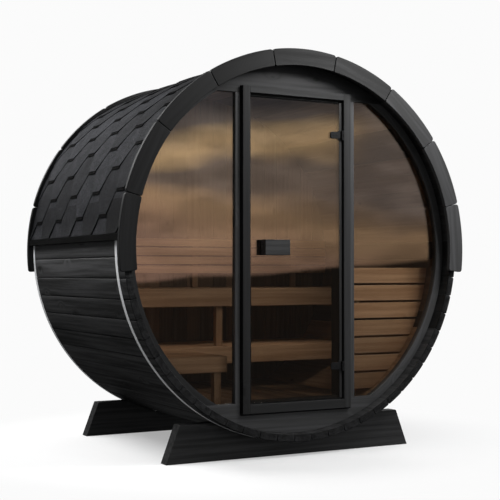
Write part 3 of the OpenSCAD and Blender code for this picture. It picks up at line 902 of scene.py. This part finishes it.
def door_frame():
    """Jambs, head and sill, each with its stop behind the leaf."""
    stop_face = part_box("hinge_brackets")[1].y
    left_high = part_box("door_jamb_left")[1]
    head_low, head_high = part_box("door_head")
    sill_low, sill_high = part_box("door_sill")
    opening_half = head_high.x
    stop = left_high.x + opening_half
    opening_top = head_low.z + stop
    opening_bottom = sill_high.z - stop
    back = left_high.y

    def rail(name, node, face, stop_bar, grain, tone):
        piece = Piece(name)
        piece.add(block(*face, PLANED_BEVEL), grain, bare_inside, tone)
        # The stops, recessed behind the leaf, are toned darker: painted shade.
        piece.add(block(*stop_bar, PLANED_BEVEL), grain, bare_inside, -0.8)
        piece.finish("cabin", *LINED, node)

    # Painted light: the right jamb is toned paler than the left one.
    for name, node, side, tone in (("left_jamb", "door_jamb_left", -1, -0.4),
                                   ("right_jamb", "door_jamb_right", 1, 0.6)):
        low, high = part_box(node)
        outer = high.x if side > 0 else -low.x
        x0, x1 = sorted((side * opening_half, side * outer))
        s0, s1 = sorted((side * (opening_half - stop), side * (opening_half + LAP)))
        rail(name, node, ((x0, low.y, low.z), (x1, back, high.z)),
             ((s0, stop_face, opening_bottom), (s1, back - 0.0005, opening_top)), ALONG_Z, tone)
    inner = opening_half - stop
    rail("head", "door_head",
         ((-opening_half, head_low.y, opening_top), (opening_half, back, head_high.z)),
         ((-inner, stop_face, head_low.z), (inner, back - 0.0005, opening_top + LAP)),
         ALONG_X, 0.1)
    rail("sill", "door_sill",
         ((-opening_half, sill_low.y, sill_low.z), (opening_half, back, opening_bottom)),
         ((-inner, stop_face, opening_bottom - LAP), (inner, back - 0.0005, sill_high.z)),
         ALONG_X, 0.25)


# ---- Door ----
# Seals on the glass, then the sizes of a hinge.
SEAL_WIDTH = 0.0150
TOP_SEAL_WIDTH = 0.0065
SEAL_PROUD = 0.0004
HINGE_LENGTH = 0.054
PLATE_HEIGHT = 0.038
PLATE_THICKNESS = 0.006
PLATE_CORNER = 0.011
SCREWS = (0.016, 0.042)
HEEL_WIDTH = 0.014
KNUCKLE_PLATE_GAP = 0.003
BRACKET_THICKNESS = 0.003


def cylinder_z(x, y, z0, z1, radius, bevel=0.0008):
    """A short upright round piece with softened rims."""
    bm = bmesh.new()
    bmesh.ops.create_cone(bm, cap_ends=True, segments=32, radius1=radius, radius2=radius,
                          depth=z1 - z0)
    bmesh.ops.translate(bm, verts=bm.verts, vec=(x, y, (z0 + z1) / 2))
    return soften(bm, bevel)


def screw_head(x, y, z, radius=0.0045):
    """A raised screw cap on a plate that faces the front."""
    bm = bmesh.new()
    bmesh.ops.create_uvsphere(bm, u_segments=20, v_segments=10, radius=radius)
    bmesh.ops.scale(bm, verts=bm.verts, vec=(1, 0.45, 1))
    bmesh.ops.translate(bm, verts=bm.verts, vec=(x, y, z))
    return bm


def door_leaf():
    """The glass with a seal along its hinge edge and its top, and a handle block on each side."""
    low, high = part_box("door_glass")
    piece = Piece("door_pane")
    piece.add(block(low, high, 0.0010), ALONG_Z)
    front, back = low.y - SEAL_PROUD, high.y + SEAL_PROUD
    piece.add(block((high.x - SEAL_WIDTH, front, low.z), (high.x, back, high.z), 0.0004),
              ALONG_Z, 1, 0.5)
    # The top seal is near-black, painted shade for the shadow over the glass.
    piece.add(block((low.x, front, high.z - TOP_SEAL_WIDTH),
                    (high.x - SEAL_WIDTH, back, high.z), 0.0004), ALONG_X, 2, 0.5)
    piece.finish("door", "bronze_glass", [GLASS, SEAL, SHADE_BLACK], "door_glass")

    handle_low, handle_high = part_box("door_handle")
    piece = Piece("handle_blocks")
    for y0, y1 in ((handle_low.y, low.y), (high.y, handle_high.y)):
        piece.add(block((handle_low.x, y0, handle_low.z), (handle_high.x, y1, handle_high.z),
                        0.0022, 3), ALONG_X, tone=0.2)
    piece.finish("door", "handle_wood", [BLACK_WOOD], "door_handle")


def rounded_plate(left, right, middle, height, corner):
    """Outline of a plate whose left corners are rounded."""
    points = [(right, middle - height / 2), (right, middle + height / 2)]
    for side in (1, -1):
        for i in range(6)[::side]:
            turn = radians(90 * i / 5)
            points.append((left + corner * (1 - sin(turn)),
                           middle + side * (height / 2 - corner * (1 - cos(turn)))))
    return points


def hinges():
    """Plates with a heel and the middle knuckle, and brackets with the outer knuckles."""
    pin_x, pin_y = frame["joints"][0]["pos_m"][:2]
    leaf_low, leaf_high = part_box("hinge_leaves")
    bracket_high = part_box("hinge_brackets")[1]
    third = HINGE_LENGTH / 3
    half = third / 2 - 0.0005
    knuckle = leaf_high.x - pin_x
    glass_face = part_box("door_glass")[0].y
    plate_front = glass_face - PLATE_THICKNESS
    plate_right = pin_x - knuckle - KNUCKLE_PLATE_GAP
    leaves = Piece("hinge_plates")
    brackets = Piece("hinge_knuckles")
    for middle in (leaf_high.z - HINGE_LENGTH / 2, leaf_low.z + HINGE_LENGTH / 2):
        bottom, top = middle - HINGE_LENGTH / 2, middle + HINGE_LENGTH / 2
        outline = rounded_plate(leaf_low.x, plate_right, middle, PLATE_HEIGHT, PLATE_CORNER)
        leaves.add(extrude(outline, plate_front, glass_face, 0.0012), ALONG_X, tone=0.5)
        leaves.add(block((plate_right - HEEL_WIDTH, glass_face - PLATE_THICKNESS / 2, bottom),
                         (plate_right, glass_face, top), 0.0010), ALONG_X, tone=0.5)
        leaves.add(block((plate_right - LAP, plate_front, middle - half),
                         (pin_x, plate_front + 0.003, middle + half), 0.0005), ALONG_X, tone=0.5)
        leaves.add(cylinder_z(pin_x, pin_y, middle - half, middle + half, knuckle), ALONG_Z,
                   tone=0.5)
        for along in SCREWS:
            leaves.add(screw_head(leaf_low.x + along, plate_front, middle), ALONG_X, tone=0.5)
        brackets.add(block((bracket_high.x - BRACKET_THICKNESS, pin_y, bottom),
                           (bracket_high.x, bracket_high.y, top), 0.0006), ALONG_Z, tone=0.5)
        for z0, z1 in ((bottom, middle - third / 2), (middle + third / 2, top)):
            brackets.add(block((pin_x, pin_y - BRACKET_THICKNESS, z0),
                               (bracket_high.x, pin_y + BRACKET_THICKNESS, z1), 0.0006),
                         ALONG_Z, tone=0.5)
            brackets.add(cylinder_z(pin_x, pin_y, z0, z1, knuckle), ALONG_Z, tone=0.5)
    leaves.finish("door", "black_hardware", [HARDWARE], "hinge_leaves")
    brackets.finish("cabin", "black_hardware", [HARDWARE], "hinge_brackets")


# ---- Room ----
def boards_across(piece, start, end, count, gap, make, tones=()):
    """Adds the boards that make(low, high) gives, side by side from start to end."""
    width = (end - start - (count - 1) * gap) / count
    for i in range(count):
        low = start + i * (width + gap)
        piece.add(*make(low, low + width), tone=rng.random() + (tones[i] if tones else 0.0))


def room_board(low, high, right=None):
    """Outline of a board whose ends follow the room's round wall, or stop at an edge."""
    heights = [low + (high - low) * i / 6 for i in range(7)]
    clear = 0.001
    ends = [(wall_x(z) - clear, z) for z in heights]
    if right is not None:
        ends = [(right, low), (right, high)]
    return ends + [(clear - wall_x(z), z) for z in reversed(heights)]


FLOOR_BOARDS = 11
FLOOR_GAP = 0.0015
# Painted shade: the floor boards are toned darker.
FLOOR_TONE = -1.9
SEAT_GAP = 0.008
# Painted light: the lower and side seat tops are toned paler.
LOWER_SEAT_TONE = 1.6
BACKREST_GAP = 0.0095
# Painted light: the backrest slats are toned paler.
BACKREST_TONES = (2.0, 2.0, 2.0, 2.0)
BEARER_WIDTH = 0.040
GUARD_GAP = 0.012
# Painted shade: the guard's lower slats are toned darker.
GUARD_TONES = (-0.9, -0.5, -0.2, 0.0, 0.0, 0.0, 0.0)


def floor_boards():
    """Floor boards that run from the front to the rear wall."""
    low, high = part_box("floor")
    half = room_half(low.z, high.z)
    piece = Piece("floor_planks")
    boards_across(piece, -half, half, FLOOR_BOARDS, FLOOR_GAP, lambda a, b: (
        block((a, low.y, low.z), (b, high.y, high.z), 0.002), ALONG_Y),
        (FLOOR_TONE,) * FLOOR_BOARDS)
    piece.finish("cabin", *BARE, "floor")


def seat(name, node, count, edge=None, lighter=0.0):
    """Seat boards from wall to wall, or from the left wall to an edge."""
    low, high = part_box(node)
    outline = room_board(low.z, high.z, edge)
    piece = Piece(name)
    boards_across(piece, low.y, high.y, count, SEAT_GAP, lambda a, b: (
        extrude(outline, a, b, 0.004, 3), ALONG_X_FLAT), (lighter,) * count)
    piece.finish("cabin", *BARE, node)


def front_board(name, node, edge=None):
    """The upright board along a bench's front."""
    low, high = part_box(node)
    piece = Piece(name)
    piece.add(extrude(room_board(low.z, high.z, edge), low.y, high.y, 0.004, 3), ALONG_X)
    piece.finish("cabin", *BARE, node)


def post(name, node, tone=0.2, finish_slot="inner_wood", material=INNER_WOOD):
    """An upright square post."""
    low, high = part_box(node)
    piece = Piece(name)
    piece.add(block(low, high, 0.003, 3), ALONG_Z, tone=tone)
    piece.finish("cabin", finish_slot, [material], node)


def benches():
    """Two benches across the rear and one along the left."""
    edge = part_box("side_bench_seat")[1].x
    seat("upper_seat_boards", "upper_bench_seat", 5)
    seat("lower_seat_boards", "lower_bench_seat", 5, None, LOWER_SEAT_TONE)
    seat("side_seat_boards", "side_bench_seat", 6, edge, LOWER_SEAT_TONE)
    front_board("upper_front_board", "upper_bench_board")
    front_board("lower_front_board", "lower_bench_board")
    front_board("side_front_board", "side_bench_board", edge)
    post("upper_post", "upper_bench_post")
    post("side_leg", "side_bench_leg")


def backrest_outline(low, high, reach):
    """Outline of a backrest board, which stops short of the wall."""
    spare = wall_x(low) - reach
    return [(x - copysign(spare, x), z) for x, z in room_board(low, high)]


def backrest():
    """Slats along the rear wall on three uprights."""
    low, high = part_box("backrest_slats")
    piece = Piece("backrest_boards")
    boards_across(piece, low.z, high.z, len(BACKREST_TONES), BACKREST_GAP, lambda a, b: (
        extrude(backrest_outline(a, b, high.x), low.y, high.y, 0.003, 3), ALONG_X),
        BACKREST_TONES)
    piece.finish("cabin", *BARE, "backrest_slats")
    low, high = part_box("backrest_bearers")
    piece = Piece("backrest_uprights")
    for x in (low.x, -BEARER_WIDTH / 2, high.x - BEARER_WIDTH):
        piece.add(block((x, low.y, low.z), (x + BEARER_WIDTH, high.y, high.z), 0.002), ALONG_Z)
    piece.finish("cabin", *BARE, "backrest_bearers")


def guard():
    """Slats from the right wall to a black end post."""
    low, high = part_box("guard_boards")
    piece = Piece("guard_slats")
    boards_across(piece, low.z, high.z, len(GUARD_TONES), GUARD_GAP, lambda a, b: (
        extrude([(-x, z) for x, z in room_board(a, b, -low.x)][::-1], low.y, high.y, 0.003, 3),
        ALONG_X), GUARD_TONES)
    piece.finish("cabin", *BARE, "guard_boards")
    post("guard_end_post", "guard_post", -0.6, STAINED, PLANED_WOOD)


# ---- Stage: floor, lights, sky in the glass and camera ----
PAPER_WHITE = grey(0.965)
# Name, azimuth and height in degrees, distance, side and power of each light.
LIGHTS = (("right_key", 33, 36.6, 2.97, 0.9, 68), ("left_side", -112, 48, 5.0, 2.2, 290),
          ("left_rear", -152, 30, 4.5, 1.6, 45), ("right_rear", 118, 32, 5.0, 2.2, 70))
CAMERA_PLACE = (-3.1694, -5.9206, 0.9994)
CAMERA_TURN = (91.145, 0.0, -28.66)
LENS = 80.48


def studio_floor():
    """A pale floor that catches the shadow and turns white away from the object."""
    s = Shader("studio_floor")
    place = s.node("NewGeometry").outputs["Position"]
    flat = s.scaled(place, (1.0, 1.0, 0.0))
    reach = s.node("VectorMath", {0: flat}, operation="LENGTH").outputs["Value"]
    faint = s.noise(place, 3.0, 3.0)
    pale = s.mix(faint, grey(0.80), grey(0.84))
    ray = s.node("LightPath").outputs["Is Camera Ray"]
    seen = s.mix(ray, grey(0.20), pale)
    diffuse = s.node("BsdfDiffuse", {"Color": seen, "Roughness": 0.0})
    white = s.node("Emission", {"Color": PAPER_WHITE, "Strength": 1.0})
    away = s.span(reach, 0.95, 1.9, 0.38, 1.0)
    share = s.times(away, ray)
    surface = s.node("MixShader", {0: share, 1: diffuse.outputs[0], 2: white.outputs[0]})
    material = s.output(surface.outputs[0])
    bpy.ops.mesh.primitive_plane_add(size=60, location=(0, 0, 0))
    floor = bpy.context.object
    floor.name = "studio_floor"
    floor.data.materials.append(material)
    floor.visible_glossy = False


def toward(azimuth, height):
    """A direction out of the scene. 0 degrees is in front, 90 is on the right."""
    turn, lift = radians(azimuth), radians(height)
    return Vector((sin(turn) * cos(lift), -cos(turn) * cos(lift), sin(lift)))


def studio_world():
    """Soft even light, a white background, and an evening sky for mirror reflections."""
    world = bpy.data.worlds.new("studio")
    bpy.context.scene.world = world
    world.use_nodes = True
    s = Shader("studio", world.node_tree)
    direction = s.node("TexCoord").outputs["Generated"]
    x, y, z = s.node("SeparateXYZ", {"Vector": direction}).outputs
    azimuth = s.times(s.math("ARCTAN2", x, s.times(y, -1.0)), 57.2958)
    height = s.times(s.math("ARCSINE", z), 57.2958)

    stretched = s.node("CombineXYZ", {
        "X": s.times(azimuth, 0.20), "Y": s.times(height, 0.50)}).outputs[0]
    drift = s.noise(stretched, 1.0, 2.0, 0.4)
    wisps = s.noise(s.scaled(stretched, (1.8, 1.8, 1.0)), 1.0, 2.0, 0.4)
    tilt = s.times(s.minus(azimuth, 28.7), s.span(height, 3.0, 6.0, 0.22, -0.09))
    wavy = s.plus(height, s.times(s.minus(drift, 0.5), 2.6))
    wavy = s.plus(wavy, tilt)
    level = s.span(wavy, -2.0, 14.0, shape="LINEAR")
    bands = s.ramp(level, [
        (0.00, (0.60, 0.36, 0.27, 1)), (0.16, (0.68, 0.42, 0.30, 1)),
        (0.25, (1.00, 0.62, 0.38, 1)), (0.33, (1.12, 0.72, 0.42, 1)),
        (0.40, (0.62, 0.46, 0.36, 1)), (0.46, (0.60, 0.46, 0.37, 1)),
        (0.52, (1.62, 1.10, 0.60, 1)), (0.56, (1.18, 0.84, 0.50, 1)),
        (0.60, (0.42, 0.35, 0.31, 1)), (0.67, (0.17, 0.155, 0.16, 1)),
        (1.00, (0.13, 0.125, 0.135, 1))])
    veil = s.span(wisps, 0.38, 0.66, 0.80, 1.15)
    veil = s.times(veil, s.span(azimuth, 25.0, 36.0, 1.02, 0.60))
    haze = s.times(s.span(azimuth, 32.6, 35.4, 0.0, 0.85), s.span(level, 0.34, 0.42))
    haze = s.times(haze, s.span(level, 0.66, 0.60))
    bands = s.mix(haze, bands, (0.75, 0.60, 0.52, 1))
    clouds = s.toned(bands, veil, 0.0, 1.0)
    ridge = s.noise(s.node("CombineXYZ", {"X": azimuth}).outputs[0], 0.22, 2.0, 0.4)
    ridge_height = s.plus(s.times(s.minus(azimuth, 30.0), 0.075),
                          s.times(s.minus(ridge, 0.45), 0.6))
    over = s.span(s.minus(height, ridge_height), -0.15, 0.15)
    sky = s.mix(over, (0.026, 0.022, 0.019, 1), clouds)

    paths = s.node("LightPath")
    facing = s.node("VectorMath", {0: direction, 1: toward(40, 20)},
                    operation="DOT_PRODUCT").outputs["Value"]
    dome = s.plus(s.span(z, -0.05, 0.90, 0.05, 0.50), s.span(facing, 0.60, 1.0, 0.0, 0.7))
    soft = s.node("Background", {"Color": (0.98, 0.99, 1.0, 1), "Strength": dome})
    white = s.node("Background", {"Color": PAPER_WHITE, "Strength": 1.0})
    evening = s.node("Background", {"Color": sky, "Strength": 1.0})
    seen = s.node("MixShader", {0: paths.outputs["Is Camera Ray"], 1: soft.outputs[0],
                                2: white.outputs[0]})
    mirror_ray = s.times(paths.outputs["Is Glossy Ray"], paths.outputs["Is Singular Ray"])
    shown = s.node("MixShader", {0: mirror_ray, 1: seen.outputs[0], 2: evening.outputs[0]})
    s.node("OutputWorld", {"Surface": shown.outputs[0]})


def softbox(name, azimuth, height, distance, side, power):
    """A square area light that faces the object."""
    data = bpy.data.lights.new(name, "AREA")
    data.size = side
    data.energy = power
    light = placed(name, data)
    away = toward(azimuth, height)
    light.location = Vector((0, 0, AXIS_Z)) + away * distance
    light.rotation_euler = (-away).to_track_quat("-Z", "Y").to_euler()


def camera():
    """The view that was fitted to the reference."""
    data = bpy.data.cameras.new("camera")
    data.lens = LENS
    data.sensor_width = 36.0
    data.clip_start = 0.1
    data.clip_end = 200.0
    obj = placed("camera", data)
    obj.location = CAMERA_PLACE
    obj.rotation_euler = [radians(turn) for turn in CAMERA_TURN]
    bpy.context.scene.camera = obj


staves()
roof_side("left_shingles", "roof_left", False)
roof_side("right_shingles", "roof_right", True)
ridge_caps()
eave_boards()
fascia("front_arch", "front_fascia")
fascia("rear_arch", "rear_fascia")
strap("front_band", "front_strap")
strap("rear_band", "rear_strap")
cradle("front_beam", "front_cradle")
cradle("rear_beam", "rear_cradle")
front_panels()
rings()
mullions()
windows()
rear_wall()
door_frame()
door_leaf()
hinges()
floor_boards()
benches()
backrest()
guard()

studio_floor()
studio_world()
for light in LIGHTS:
    softbox(*light)
camera()

bpy.context.scene.view_settings.view_transform = "Standard"
